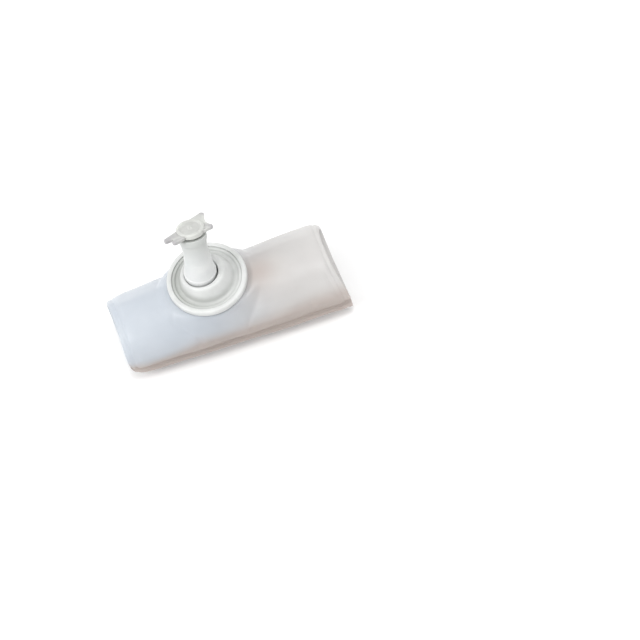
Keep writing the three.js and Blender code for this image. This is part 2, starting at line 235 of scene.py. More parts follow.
# Names of the values that a mesh keeps at its points for its material
WARM = "warm"
# How much a surface is darkened by painted shade and painted shadow
PAINTED_SHADE = "painted_shade"

# Where the film is warm: WARM_SHARE of the warm tone past the second place along the sleeve
WARM_SHARE = 0.87
WARM_ALONG = (-12, 18)
# Painted shade on the film: darker low on the seam's side, up to heights that rise along the sleeve, and a
# painted shadow of the stem and flange beside the flange
PAINTED_SHADE_HEIGHTS = (5, 10.5)
PAINTED_SHADE_ASIDE = (-9, -2)
PAINTED_SHADE_RISES = [
    {"from": -26, "to": -8, "rise": 4},
    {"from": 6, "to": 24, "rise": 1.8},
]
# Painted shadow of the stem and flange, on the film past the flange
PAINTED_SHADOW_SPOT = {"share": 0.9, "past_flange": 2.4, "aside": -0.8, "spread": 5.4}
# Painted shade on the valve: in the flange's trough, darker up the stem, and at the ears' tips, where it
# stands in for their shade and dark refracted edges
TROUGH_FOOT = 0.1
TROUGH_FADE = 0.3
TROUGH_SHADE = 0.65
TROUGH_SHADE_TO_FINGERTIP = 0.45
STEM_SHADE_FROM = 2
EAR_SHADE_FROM = 0.7

# Tones as linear colour: cloudy between "dark" and "light", and a darker tone that paints shade and shadow
FILM_COOL = {"dark": (0.572, 0.615, 0.672), "light": (0.612, 0.652, 0.7)}
FILM_WARM = {"dark": (0.645, 0.62, 0.6), "light": (0.69, 0.67, 0.65)}
FILM_PAINTED_SHADE = (0.55, 0.475, 0.435)
FILM_ALPHA = (0.56, 0.68)
FILM_ROUGHNESS = (0.28, 0.42)
FLANGE_TONES = {"dark": (0.58, 0.59, 0.58), "light": (0.66, 0.67, 0.66), "painted_shade": (0.45, 0.465, 0.445)}
STEM_TONES = {"dark": (0.63, 0.645, 0.645), "light": (0.69, 0.7, 0.695), "painted_shade": (0.51, 0.525, 0.51)}
CAP_TONES = {"dark": (0.53, 0.54, 0.51), "light": (0.6, 0.61, 0.58), "painted_shade": (0.37, 0.36, 0.37)}
FLANGE_ROUGHNESS = 0.36
STEM_ROUGHNESS = 0.33
CAP_ROUGHNESS = 0.4
ROUGHNESS_SPREAD = (-0.05, 0.06)
IOR = 1.5
SUBSURFACE = 0.3
SUBSURFACE_RADIUS = (0.0016, 0.0017, 0.0016)

# Surface detail: "cloud", "wave" and "grain" are repeats in a metre, depths are in metres
CLOUD_LEVELS = 3
WAVE_LEVELS = 2
GRAIN_LEVELS = 1
FILM_DETAIL = {
    "cloud": 70, "cloud_span": (0.3, 0.7),
    "wave": 230, "wave_depth": 0.0002, "wave_strength": 0.3,
    "grain": 5200, "grain_depth": 0.00004, "grain_strength": 0.2,
}
SOFT_DETAIL = {
    "cloud": 260, "cloud_span": (0.32, 0.68),
    "wave": 420, "wave_depth": 0.00012, "wave_strength": 0.3,
    "grain": 6000, "grain_depth": 0.00003, "grain_strength": 0.25,
}

# Studio, in metres and watts
FLOOR_SIZE = 6
FLOOR_DROP = 0.0001
FLOOR_TONE = (0.93, 0.93, 0.93, 1)
FLOOR_ROUGHNESS = 0.9
LIGHTS = [
    {"name": "key", "place": (-0.65, -0.12, 0.66), "size": 0.3, "power": 3.2},
    {"name": "top", "place": (0.12, 0.02, 0.9), "size": 0.3, "power": 2.6},
]
LIGHT_AIM = (0, 0, 0.01)
SKY_STRENGTH = 0.85

# Camera: the photograph is 640 pixels square, and the sleeve's middle is at TARGET_PIXEL in it.
IMAGE_PIXELS = 640
SENSOR = 36
CAMERA_DISTANCE = 500
CAMERA_ELEVATION = math.radians(60)
CAMERA_TURN = math.radians(1.5)
CAMERA_ROLL = math.radians(19.7)
CAMERA_CLIP = 0.01
PIXELS_PER_MM = 3.66
TARGET = (0, 0, 10)
TARGET_PIXEL = (227.5, 296)

VALVE_X = (VALVE_ALONG - 0.5) * SLEEVE_LENGTH


def smoothstep(value, low, high):
    share = np.clip((value - low) / (high - low), 0, 1)
    return share * share * (3 - 2 * share)


def along_table(rows, column, share):
    """A smooth curve through a table's column, at an array of shares."""
    at = np.array([row["at"] for row in rows], float)
    value = np.array([row[column] for row in rows], float)
    slope = np.gradient(value, at)
    i = np.clip(np.searchsorted(at, share) - 1, 0, len(at) - 2)
    span = at[i + 1] - at[i]
    t = (share - at[i]) / span
    rise = value[i + 1] - value[i]
    start = slope[i] * span
    end = slope[i + 1] * span
    return value[i] + t * (start + t * (3 * rise - 2 * start - end + t * (start + end - 2 * rise)))


def add_mesh(name, points, faces, material, body, values):
    """A smooth piece from points in millimetres, riding on a CAD body, with named values at its points."""
    mesh = bpy.data.meshes.new(name)
    mesh.from_pydata((np.asarray(points, float) * MM).tolist(), [], faces)
    for value_name, value in values.items():
        mesh.attributes.new(value_name, "FLOAT", "POINT").data.foreach_set("value", value)
    mesh.validate()
    mesh.shade_smooth()
    piece = bpy.data.objects.new(name, mesh)
    bpy.context.scene.collection.objects.link(piece)
    mesh.materials.append(material)
    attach(piece, body)
    return piece


def grid_faces(rows, columns, close_rows=False):
    """Quads over a grid of points that closes on itself along its columns, and along its rows if asked."""
    r = np.arange(rows if close_rows else rows - 1)[:, None]
    c = np.arange(columns)[None, :]
    a = r * columns + c
    b = r * columns + (c + 1) % columns
    below = (r + 1) % rows
    d = below * columns + c
    e = below * columns + (c + 1) % columns
    return np.stack([a, b, e, d], axis=-1).reshape(-1, 4).tolist()


# Film shape


def puff(x):
    """How far the two films have parted: 0 at an end weld, and 1 where the chamber is full."""
    share = np.clip((SLEEVE_LENGTH / 2 - np.abs(x) - END_WELD) / END_PUFF, 0, 1)
    return np.sqrt(1 - (1 - share) ** 2)


def near_turn(angle, middle, spread):
    """1 at a turn round the section, and 0 away from it."""
    off = (angle - middle + math.pi) % (2 * math.pi) - math.pi
    return np.exp(-((off / spread) ** 2))


def near_row(angle, row):
    """1 at the turn in a table's row, and 0 away from it."""
    return near_turn(angle, math.radians(row["turn"]), math.radians(row["spread"]))


def end_bow(x, angle):
    """How far towards the fingertip the edges of the ends are moved."""
    shift = 0
    for end in END_BOWS:
        share = np.clip(end["side"] * x / (SLEEVE_LENGTH / 2), 0, 1) ** END_BOW_POWER
        shift = shift + end["side"] * share * (end["bow"] * near_row(angle, end) - end["over"])
    return shift


def end_dip(x, angle):
    """How far the film pulls in at the end welds and at their rounded corners."""
    dip = END_DIP * (1 - puff(x))
    for corner in END_ROUNDS:
        from_edge = SLEEVE_LENGTH / 2 - corner["side"] * x
        share = np.clip(1 - from_edge / corner["length"], 0, 1)
        dip = dip + corner["dip"] * (1 - np.sqrt(1 - share ** 2)) * near_row(angle, corner)
    return dip


def section(x, angle, inset):
    """Points of the sleeve's section at x, an angle round it and an inset from the inflated outside."""
    share = np.clip(x / SLEEVE_LENGTH + 0.5, 0, 1)
    width = along_table(OUTLINE, "width", share) * SLEEVE_WIDTH
    height = along_table(OUTLINE, "height", share) * SLEEVE_HEIGHT

    def bulge(value):
        return np.sign(value) * np.abs(value) ** (2 / SECTION_POWER)

    y = (width / 2 - inset) * bulge(np.cos(angle))
    z = height / 2 - FLOOR_PRESS + (height / 2 - inset) * bulge(np.sin(angle))
    return x - y * math.tan(END_SLANT) - end_bow(x, angle), y, np.maximum(z, inset)


def weld_relief(x):
    """The bead and the groove that the weld tool presses along each end band."""
    edge = SLEEVE_LENGTH / 2 - np.abs(x)
    relief = 0
    for line in WELD_LINES:
        off = (edge - END_WELD * line["at"]) / (END_WELD * line["spread"])
        relief = relief + line["way"] * np.exp(-(off ** 2))
    return WELD_LINE_RISE * relief


def swell(x, angle):
    """Three broad waves. What is added to each angle only keeps them from running together."""
    along = 2 * math.pi * x
    first = np.sin(along / SWELL_LONG + 1.1 * np.sin(angle + 0.6) + 0.5)
    second = np.sin(along / SWELL_SHORT - 2 * angle + 1.7) * np.sin(3 * angle + 0.4)
    third = np.sin(5 * angle + x / SWELL_TURN)
    shares = SWELL_SHARES
    return SWELL * puff(x) * (shares[0] * first + shares[1] * second + shares[2] * third)


def seat_height():
    """The valve's seat is level with the highest point of the film under it."""
    x = VALVE_X + np.linspace(-1, 1, 5) * FLANGE_RADIUS
    return section(x, np.full_like(x, math.pi / 2), 0)[2].max()


SEAT = seat_height()


def outer_film(x, angle, depth):
    """The outer film, at a depth below its outside."""
    dip = end_dip(x, angle) + SEAM_VALLEY * near_turn(angle, SEAM_ANGLE, SEAM_SPREAD)
    sx, sy, sz = section(x, angle, dip)
    reach = np.hypot(sx - VALVE_X, sy - VALVE_ASIDE)
    under = 1 - smoothstep(reach, FLANGE_RADIUS, FLANGE_RADIUS + SKIRT)
    middle = section(x, np.full_like(angle, math.pi / 2), 0)[2] / 2
    high = smoothstep(sz, middle * LIFT_FROM, middle * LIFT_FULL)
    relief = swell(x, angle) * (1 - under) + weld_relief(x)
    px, py, pz = section(x, angle, dip + depth - relief)
    pz = pz + (SEAT - sz) * under * high
    return np.stack([px, py, np.maximum(pz, depth)], axis=-1)


def inner_film(x, angle):
    """The finger's side of the inner film, folded where the air squeezes it."""
    full = puff(x)
    air = full * (AIR_DEPTH - SEAM_PINCH * near_turn(angle, SEAM_ANGLE, SEAM_SPREAD))
    wander = FOLD_WANDER * np.sin(x / FOLD_WANDER_LENGTH + 3 * angle)
    ridges = np.abs(np.sin(FOLD_RIDGES / 2 * angle + wander)) ** FOLD_SHARPNESS - FOLD_SHARPNESS
    fine_wander = FOLD_FINE_WANDER * np.sin(x / FOLD_FINE_WANDER_LENGTH)
    fine = np.sin(FOLD_FINE_RIDGES * angle + fine_wander) * np.sin(x / FOLD_FINE_LENGTH + angle)
    fold = INNER_FOLD * full * (ridges + FOLD_FINE_SHARE * fine)
    inset = end_dip(x, angle) + 2 * FILM + air + fold
    return np.stack(section(x, angle, inset), axis=-1)


def film_values(points, inside):
    """The film is warmer towards the knuckle, and its outside has painted shade along the seam and a painted
    shadow of the stem and flange beside it.
    """
    x, y, z = points.T
    rise = 0
    for row in PAINTED_SHADE_RISES:
        rise = rise + row["rise"] * smoothstep(x, row["from"], row["to"])
    # painted shade, darker low on the seam's side
    low = (1 - smoothstep(z - rise, *PAINTED_SHADE_HEIGHTS)) * (1 - smoothstep(y, *PAINTED_SHADE_ASIDE))
    # a painted shadow of the stem and flange, past the flange on the knuckle's side
    along = (x - VALVE_X - FLANGE_RADIUS - PAINTED_SHADOW_SPOT["past_flange"]) / PAINTED_SHADOW_SPOT["spread"]
    aside = (y - PAINTED_SHADOW_SPOT["aside"]) / PAINTED_SHADOW_SPOT["spread"]
    painted_shadow = PAINTED_SHADOW_SPOT["share"] * np.exp(-(along ** 2) - aside ** 2)
    return {WARM: WARM_SHARE * smoothstep(x, *WARM_ALONG), PAINTED_SHADE: np.clip(low + painted_shadow, 0, 1) * ~inside}


def held_share(grid):
    """1 where the outer film can't move: at its welds, under the flange and where it rests on the floor."""
    x, y, z = np.moveaxis(grid, -1, 0)
    ends = 1 - smoothstep(SLEEVE_LENGTH / 2 - np.abs(x), END_WELD, END_WELD + CLOTH_FREE_END)
    reach = np.hypot(x - VALVE_X, y - VALVE_ASIDE)
    under = 1 - smoothstep(reach, FLANGE_RADIUS, FLANGE_RADIUS + CLOTH_FREE_FLANGE)
    rests = 1 - smoothstep(z, *CLOTH_FREE_FLOOR)
    held = np.maximum(np.maximum(ends, under * (z > SLEEVE_HEIGHT / 2)), rests)
    held[:, [0, 1, -1]] = 1  # the seam is the first column
    return held.ravel()


def smoothed(grid):
    """A grid with each point drawn towards its neighbours; it closes on itself along its columns."""
    padded = np.concatenate([grid[:1], grid, grid[-1:]])
    grid = (padded[:-2] + 2 * padded[1:-1] + padded[2:]) / 4
    return (np.roll(grid, 1, axis=1) + 2 * grid + np.roll(grid, -1, axis=1)) / 4


def twice_as_fine(grid):
    """A grid with a point added halfway between every two; it closes on itself along its columns."""
    rows = np.empty((2 * len(grid) - 1, *grid.shape[1:]))
    rows[::2] = grid
    rows[1::2] = (grid[1:] + grid[:-1]) / 2
    both = np.empty((len(rows), 2 * grid.shape[1], grid.shape[2]))
    both[:, ::2] = rows
    both[:, 1::2] = (rows + np.roll(rows, -1, axis=1)) / 2
    return both


def simulated(points, faces, held):
    """Where the points of a closed film come to rest under pressure, with a little spare film."""
    mesh = bpy.data.meshes.new("film_cloth")
    mesh.from_pydata(points.tolist(), [], faces)
    piece = bpy.data.objects.new("film_cloth", mesh)
    bpy.context.scene.collection.objects.link(piece)
    group = piece.vertex_groups.new(name="held")
    for i in np.flatnonzero(held):
        group.add([int(i)], held[i], "REPLACE")
    cloth = piece.modifiers.new("air", "CLOTH")
    cloth.collision_settings.use_collision = False
    cloth.point_cache.frame_end = CLOTH_FRAMES
    settings = cloth.settings
    settings.vertex_group_mass = group.name
    settings.use_pressure = True
    settings.uniform_pressure_force = CLOTH_PRESSURE
    settings.shrink_min = -CLOTH_SPARE
    settings.tension_stiffness = CLOTH_STIFF
    settings.compression_stiffness = CLOTH_STIFF
    settings.bending_stiffness = CLOTH_BEND
    settings.effector_weights.gravity = 0
    for moment in range(1, CLOTH_FRAMES + 1):
        bpy.context.scene.frame_set(moment)
    end = np.empty(points.size)
    piece.evaluated_get(bpy.context.evaluated_depsgraph_get()).data.vertices.foreach_get("co", end)
    bpy.context.scene.frame_set(1)
    bpy.data.objects.remove(piece)
    bpy.data.meshes.remove(mesh)
    return end.reshape(points.shape)


def blow_up(film):
    """Moves the outer film's rings of points as air under light pressure and a little spare film do."""
    grid = film[::CLOTH_STEP, ::CLOTH_STEP]
    held = held_share(grid)
    start = grid.reshape(-1, 3) * MM * CLOTH_SCALE
    end = simulated(start, grid_faces(*grid.shape[:2]), held)
    move = smoothed(smoothed((end - start).reshape(grid.shape) / (MM * CLOTH_SCALE)))
    move *= (1 - held.reshape(*grid.shape[:2], 1))
    length = np.linalg.norm(move, axis=-1, keepdims=True) + TINY
    return film + twice_as_fine(move * CLOTH_MOST * np.tanh(length / CLOTH_MOST) / length)


def make_sleeve(material):
    """Both films as one closed skin: outside, round the knuckle end's edge, inside, round the other edge."""
    end = SLEEVE_LENGTH / 2
    thick = 2 * FILM
    round_out = thick / 3
    angle = SEAM_ANGLE + np.arange(AROUND) * 2 * math.pi / AROUND
    rim_turn = np.linspace(0, math.pi, EDGE_STEPS)[1:-1]
    rings = []
    for x in np.linspace(-end + round_out, end - round_out, OUTER_STATIONS):
        rings.append(outer_film(np.full(AROUND, x), angle, 0))
    rings = list(blow_up(np.array(rings)))
    for turn in rim_turn:
        x = end - round_out + round_out * math.sin(turn)
        rings.append(outer_film(np.full(AROUND, x), angle, thick / 2 * (1 - math.cos(turn))))
    inner_start = len(rings) * AROUND
    for x in np.linspace(end - round_out, -end + round_out, INNER_STATIONS):
        rings.append(inner_film(np.full(AROUND, x), angle))
    inner_end = len(rings) * AROUND
    for turn in rim_turn:
        x = -end + round_out - round_out * math.sin(turn)
        rings.append(outer_film(np.full(AROUND, x), angle, thick / 2 * (1 + math.cos(turn))))
    points = np.concatenate(rings)
    place = np.arange(len(points))
    values = film_values(points, (place >= inner_start) & (place < inner_end))
    faces = grid_faces(len(rings), AROUND, close_rows=True)
    sleeve = add_mesh("air_sleeve_film", points, faces, material, "splint", values)
    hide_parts("air_sleeve")


def fin_profile():
    """The fin's closed profile, as distances out from the seam and to its side."""
    lower = [(row["out"], -FIN_HALF * row["thick"]) for row in FIN_HALF_PROFILE]
    upper = [(row["out"], FIN_HALF * row["thick"]) for row in reversed(FIN_HALF_PROFILE)]
    return lower + upper


def fin_ring(x, profile):
    """The fin's profile set on the seam at x."""
    end = SLEEVE_LENGTH / 2
    here = np.full(3, x)
    angle = SEAM_ANGLE + np.array([-FIN_TURN_STEP, 0, FIN_TURN_STEP])
    around = np.stack(section(here, angle, 0), axis=-1)
    foot = outer_film(here, angle, 0)[1]
    side = around[2] - around[0]
    side /= np.linalg.norm(side)
    out = np.array([0, side[2], -side[1]])
    sway = sum(row["sway"] * math.sin(x / row["length"] + row["start"]) for row in FIN_SWAYS)
    rise = math.sqrt(1 - (1 - min(1, (x + end) / FIN_ROUND)) ** 2)
    rise += FIN_DROOP / SEAM_FIN * smoothstep(x, end - FIN_DROOP_LENGTH, end)
    ring = []
    for h, s in profile:
        ring.append(foot + out * h * (rise if h > 0 else 1) + side * (s + sway * max(0, h) / SEAM_FIN))
    return ring


def make_seam_fin(material):
    """The fin of welded film along the seam, with the two lines that the weld tool presses into it."""
    end = SLEEVE_LENGTH / 2 - FIN_INSET
    profile = fin_profile()
    columns = len(profile)
    points = np.concatenate([fin_ring(x, profile) for x in np.linspace(-end, end, FIN_STATIONS)])
    faces = grid_faces(FIN_STATIONS, columns)
    faces.append(list(range(columns)))
    faces.append(list(range(len(points) - 1, len(points) - 1 - columns, -1)))
    values = film_values(points, np.zeros(len(points), bool))
    fin = add_mesh("seam_fin", points, faces, material, "splint", values)


# Valve shapes


def round_corners(rows):
    """A closed profile from (radius, height, rounding) rows, with an arc of ROUNDING_STEPS at each corner."""
    points = [np.array(row[:2], float) for row in rows]
    out = []
    for i, (point, row) in enumerate(zip(points, rows)):
        before = points[i - 1] - point
        after = points[(i + 1) % len(points)] - point
        before_length = np.linalg.norm(before)
        after_length = np.linalg.norm(after)
        reach = min(row[2], before_length / ROUNDING_SHARE, after_length / ROUNDING_SHARE)
        if reach < LEAST_ROUNDING:
            out.append(point)
            continue
        start = point + before / before_length * reach
        end = point + after / after_length * reach
        for t in np.linspace(0, 1, ROUNDING_STEPS):
            out.append((1 - t) ** 2 * start + 2 * t * (1 - t) * point + t * t * end)
    return np.array(out)


def split_long(profile):
    """The same closed profile with its long straights divided, so that it can bend."""
    out = []
    for i, point in enumerate(profile):
        following = profile[(i + 1) % len(profile)]
        parts = max(1, math.ceil(np.linalg.norm(following - point) / LONGEST_STRAIGHT))
        for k in range(parts):
            out.append(point + (following - point) * k / parts)
    return np.array(out)


def revolve(profile):
    """Points and quads of a closed profile turned about Z."""
    turn = np.arange(TURNED_SIDES) * 2 * math.pi / TURNED_SIDES
    radius, height = profile[:, 0][:, None], profile[:, 1][:, None]
    points = np.stack([radius * np.cos(turn), radius * np.sin(turn), height + 0 * turn], axis=-1)
    faces = grid_faces(len(profile), TURNED_SIDES, close_rows=True)
    return points.reshape(-1, 3), faces


def bend_back(points, start, length, angle, inside=np.inf):
    """Bends what lies above a height and inside a radius towards +Y, by an angle over a length."""
    radius = length / angle
    rise = points[:, 2] - start
    bent = (rise > 0) & (np.hypot(points[:, 0], points[:, 1]) < inside)
    turn = np.clip(rise / length, 0, 1) * angle
    arm = radius - points[:, 1]
    beyond = np.maximum(0, rise - length)
    y = radius - arm * np.cos(turn) + beyond * math.sin(angle)
    z = start + arm * np.sin(turn) + beyond * math.cos(angle)
    out = points.copy()
    out[bent, 1] = y[bent]
    out[bent, 2] = z[bent]
    return out


def bend_end(start, length, angle):
    """The frame that stands where the middle of such a bend ends."""
    radius = length / angle
    place = Matrix.Translation((0, radius * (1 - math.cos(angle)), start + radius * math.sin(angle)))
    return place @ Matrix.Rotation(-angle, 4, "X")


def placed(points, matrix):
    m = np.array(matrix)
    return points @ m[:3, :3].T + m[:3, 3]


VALVE_FRAME = Matrix.Translation((VALVE_X, VALVE_ASIDE, SEAT + WELD_GAP))
MOUTH_FRAME = VALVE_FRAME @ bend_end(FLANGE_PLATE, COLLAR_RISE, COLLAR_LEAN)
MOUTH_FRAME = MOUTH_FRAME @ Matrix.Translation((-STEM_ASIDE, 0, 0)) @ Matrix.Rotation(STEM_LEAN, 4, "Y")
LIP_FRAME = MOUTH_FRAME @ bend_end(0, NECK_RISE, STEM_BEND) @ Matrix.Translation((0, 0, LIP_RISE - NECK_RISE))


def move_collar(points, socket, mouth, trough_edge):
    """Moves the collar towards the fingertip with the stem: its socket wholly, its outside less low down."""
    radius = np.hypot(points[:, 0], points[:, 1])
    rise = points[:, 2] - FLANGE_PLATE
    touch = 0.01
    across_floor = np.clip((radius - PORT_RADIUS) / (socket - PORT_RADIUS), 0, 1)
    socket_move = (STEM_ASIDE + (mouth - points[:, 2]) * math.tan(STEM_LEAN)) * across_floor
    follow = 1 + (COLLAR_FOLLOW - 1) * np.clip((radius - socket) / COLLAR_LIP, 0, 1)
    outside_move = STEM_ASIDE * follow * np.clip(rise / COLLAR_RISE, 0, 1)
    in_socket = (radius < socket + touch) & (rise > -touch)
    outside = (radius >= socket + touch) & (radius < trough_edge - touch)
    out = points.copy()
    out[in_socket, 0] -= socket_move[in_socket]
    out[outside, 0] -= outside_move[outside]
    return out


def mouth_draw(points, socket, mouth):
    """How the mouth's edge moves in to nearly close the gap to the stem on the fingertip's side."""
    x, y, z = points.T
    radius = np.hypot(x, y)
    side = np.clip(np.cos(np.arctan2(y, x) - MOUTH_DRAW_TURN), 0, 1) ** 2
    near = 1 - smoothstep(radius, socket + MOUTH_DRAW_FROM, socket + COLLAR_LIP)
    high = smoothstep(z, mouth - MOUTH_DRAW_DEPTH, mouth - MOUTH_DRAW_DEPTH / 3)
    drawn = MOUTH_DRAW * side * near * high / radius
    return np.column_stack([-x * drawn, -y * drawn, 0 * z])


def trough_painted_shade(points, rim_in):
    """Painted shade in the flange's trough, darkest towards the fingertip."""
    reach = np.hypot(points[:, 0], points[:, 1])
    from_collar = smoothstep(reach, COLLAR_SHOULDER_RADIUS, COLLAR_BASE_RADIUS + TROUGH_FOOT)
    to_rim = 1 - smoothstep(reach, rim_in - TROUGH_FADE, rim_in + TROUGH_FADE)
    share = TROUGH_SHADE - TROUGH_SHADE_TO_FINGERTIP * points[:, 0] / FLANGE_RADIUS
    return from_collar * to_rim * np.clip(share, 0, 1)


def make_flange(material):
    socket = STEM_RADIUS + STEM_PLAY
    rim_top = FLANGE_PLATE + FLANGE_RIM_RISE
    rim_in = FLANGE_RADIUS - FLANGE_RIM_WIDTH
    ring = FLANGE_PLATE + RING_RISE
    trough_edge = rim_in - RING_WIDTH
    shoulder = FLANGE_PLATE + COLLAR_SHOULDER_RISE
    mouth = FLANGE_PLATE + COLLAR_RISE
    foot = FLANGE_OFF_FILM - WELD_GAP
    profile = round_corners([
        (PORT_RADIUS, foot, 0),
        (FLANGE_RADIUS, foot, 0.3),
        (FLANGE_RADIUS, rim_top, 0.65),
        (rim_in, rim_top, 0.6),
        (rim_in, FLANGE_PLATE + RIM_STEP, 0.15),
        (rim_in - RIM_STEP, ring, 0.2),
        (trough_edge + RING_SLOPE, ring, 0.3),
        (trough_edge, FLANGE_PLATE, 0.3),
        (COLLAR_BASE_RADIUS + COLLAR_BASE_OUT, FLANGE_PLATE, 0.7),
        (COLLAR_SHOULDER_RADIUS + COLLAR_SHOULDER_OUT, shoulder - COLLAR_SHOULDER_DOWN, 0.9),
        (socket + COLLAR_LIP, mouth, 0.6),
        (socket, mouth, 0.25),
        (socket, FLANGE_PLATE, 0.3),
        (PORT_RADIUS, FLANGE_PLATE, 0.2),
    ])
    points, faces = revolve(split_long(profile))
    drawn = mouth_draw(points, socket, mouth)
    points = move_collar(points, socket, mouth, trough_edge) + drawn
    inside = (rim_in + COLLAR_BASE_RADIUS) / 2
    points = bend_back(points, FLANGE_PLATE, COLLAR_RISE, COLLAR_LEAN, inside)
    # painted shade in the flange's trough
    values = {PAINTED_SHADE: trough_painted_shade(points, rim_in)}
    flange = add_mesh("valve_flange_soft", placed(points, VALVE_FRAME), faces, material, "splint", values)
    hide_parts("valve_flange")


def make_stem(material):
    lip_foot = LIP_RISE - LIP_EDGE
    flare = lip_foot - NECK_RISE
    band = NECK_RISE * BAND_ALONG
    band_radius = STEM_RADIUS - BAND_INSET + (NECK_RADIUS - STEM_RADIUS) / NECK_RISE * band
    profile = round_corners([
        (BORE_RADIUS, -STEM_INSERT, 0.2),
        (STEM_RADIUS, -STEM_INSERT, 0.3),
        (STEM_RADIUS, BEAD_RISE, 0.3),
        (STEM_RADIUS - BEAD_INSET, BEAD_RISE + BEAD_STEP, 0.15),
        (band_radius, band, 0.1),
        (band_radius - BAND_INSET, band + BAND_HEIGHT, 0.1),
        (NECK_RADIUS, NECK_RISE, 1.6),
        (LIP_RADIUS - FLARE_INSET, NECK_RISE + flare * FLARE_ALONG, 0.9),
        (LIP_RADIUS, lip_foot, 0.5),
        (LIP_RADIUS, LIP_RISE, 0.35),
        (BORE_RADIUS, LIP_RISE, 0.25),
    ])
    points, faces = revolve(split_long(profile))
    # painted shade, darker towards the lip
    values = {PAINTED_SHADE: smoothstep(points[:, 2], STEM_SHADE_FROM, LIP_RISE)}
    points = bend_back(points, 0, NECK_RISE, STEM_BEND)
    stem = add_mesh("valve_stem_tube", placed(points, MOUTH_FRAME), faces, material, "splint", values)
    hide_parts("valve_stem")


def polar(turn, radius):
    return np.array([radius * math.cos(turn), radius * math.sin(turn)])


def wing_outline(wing):
    """A wing's flat outline about the disc's middle: two round ears with a notch between them."""
    first, second = (math.radians(turn) for turn in wing["turns"])
    middle = (first + second) / 2
    quarter = math.pi / 2

    def ear(turn, share, start, end):
        tip = polar(turn, WING_REACH * share - WING_TIP_RADIUS)
        return [tip + polar(t, WING_TIP_RADIUS) for t in np.linspace(turn + start, turn + end, EAR_STEPS)]

    first_ear = ear(first, wing["reaches"][0], -quarter, quarter / 2)
    second_ear = ear(second, wing["reaches"][1], -quarter / 2, quarter)
    leave, arrive = first_ear[-1], second_ear[0]
    control = polar(middle, 2 * WING_REACH * wing["notch"]) - (leave + arrive) / 2
    notch = []
    for t in np.linspace(0, 1, EAR_STEPS)[1:-1]:
        notch.append((1 - t) ** 2 * leave + 2 * t * (1 - t) * control + t * t * arrive)
    half_root = WING_REACH * wing["root"] / 2
    feet = [polar(middle + quarter, half_root), polar(middle - quarter, half_root)]
    return np.array(first_ear + notch + second_ear + feet)


def ear_share(points, wing):
    """How far out a wing's points are, as a share of its nearer ear's reach."""
    shares = []
    for turn, reach in zip(wing["turns"], wing["reaches"]):
        shares.append(points[:, :2] @ polar(math.radians(turn), 1) / (WING_REACH * reach))
    return np.max(shares, axis=0)


def slab(outline, thickness, rounding):
    """A flat plate over an outline, from 0 up, with its edges rounded."""
    before = np.roll(outline, 1, axis=0)
    after = np.roll(outline, -1, axis=0)
    along = after - before
    along /= np.linalg.norm(along, axis=1)[:, None]
    inward = np.stack([-along[:, 1], along[:, 0]], axis=-1)
    turn = np.linspace(0, math.pi / 2, ROUNDING_STEPS)
    levels = [(rounding * (1 - math.sin(a)), rounding * (1 - math.cos(a))) for a in turn]
    levels += [(inset, thickness - height) for inset, height in reversed(levels)]
    rings = []
    for inset, height in levels:
        rings.append(np.column_stack([outline + inward * inset, np.full(len(outline), height)]))
    faces = grid_faces(len(rings), len(outline))
    last = (len(rings) - 1) * len(outline)
    faces.append(list(range(len(outline) - 1, -1, -1)))
    faces.append(list(range(last, last + len(outline))))
    return np.concatenate(rings), faces


def make_cap(material):
    top = CAP_GROOVE + CAP_THICKNESS
    plug = BORE_RADIUS - CAP_GAP
    plug_length = LIP_RISE - NECK_RISE - CAP_GAP
    rim_in = CAP_RADIUS - CAP_RIM_WIDTH
    dish = top - CAP_DISH
    profile = round_corners([
        (NEAR_AXIS, -plug_length, 0),
        (plug, -plug_length, 0.35),
        (plug, CAP_GAP, 0.1),
        (HUB_RADIUS, CAP_GAP, 0.15),
        (HUB_RADIUS, CAP_GROOVE, 0.15),
        (CAP_RADIUS, CAP_GROOVE, 0.3),
        (CAP_RADIUS, top, 0.45),
        (rim_in, top, 0.3),
        (rim_in - CAP_DISH_SLOPE, dish, 0.3),
        (CAP_SPOT_RADIUS, dish, 0.1),
        (CAP_SPOT_RADIUS - CAP_SPOT_SLOPE, dish + CAP_SPOT_RISE, 0.1),
        (NEAR_AXIS, dish + CAP_SPOT_RISE, 0),
    ])
    points, faces = revolve(profile)
    painted_shade = np.zeros(len(points))
    for wing in WINGS:
        plate, plate_faces = slab(wing_outline(wing), WING_THICKNESS, WING_THICKNESS * WING_ROUNDING)
        faces += [[i + len(points) for i in face] for face in plate_faces]
        points = np.concatenate([points, plate + [0, 0, top - WING_DROP - WING_THICKNESS]])
        # painted shade, darker towards the ears' tips
        painted_shade = np.concatenate([painted_shade, smoothstep(ear_share(plate, wing), EAR_SHADE_FROM, 1)])
    cap = add_mesh("valve_cap_wings", placed(points, LIP_FRAME), faces, material, "cap", {PAINTED_SHADE: painted_shade})
    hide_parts("valve_cap")


# Materials


def new_material(name):
    material = bpy.data.materials.new(name)
    material.use_nodes = True
    nodes = material.node_tree.nodes
    return material, nodes, material.node_tree.links, nodes["Principled BSDF"]


def noise(nodes, links, scale, levels):
    """Noise over object coordinates, with its scale in repeats per metre."""
    coordinates = nodes.new("ShaderNodeTexCoord")
    texture = nodes.new("ShaderNodeTexNoise")
    texture.inputs["Scale"].default_value = scale
    texture.inputs["Detail"].default_value = levels
    links.new(coordinates.outputs["Object"], texture.inputs["Vector"])
    return texture.outputs["Fac"]


def ramp(nodes, links, source, span, tones):
    """A colour that goes from the dark to the light tone over part of a 0 to 1 value."""
    made = nodes.new("ShaderNodeValToRGB")
    for element, position, tone in zip(made.color_ramp.elements, span, ("dark", "light")):
        element.position = position
        element.color = (*tones[tone], 1)
    links.new(source, made.inputs["Fac"])
    return made.outputs["Color"]


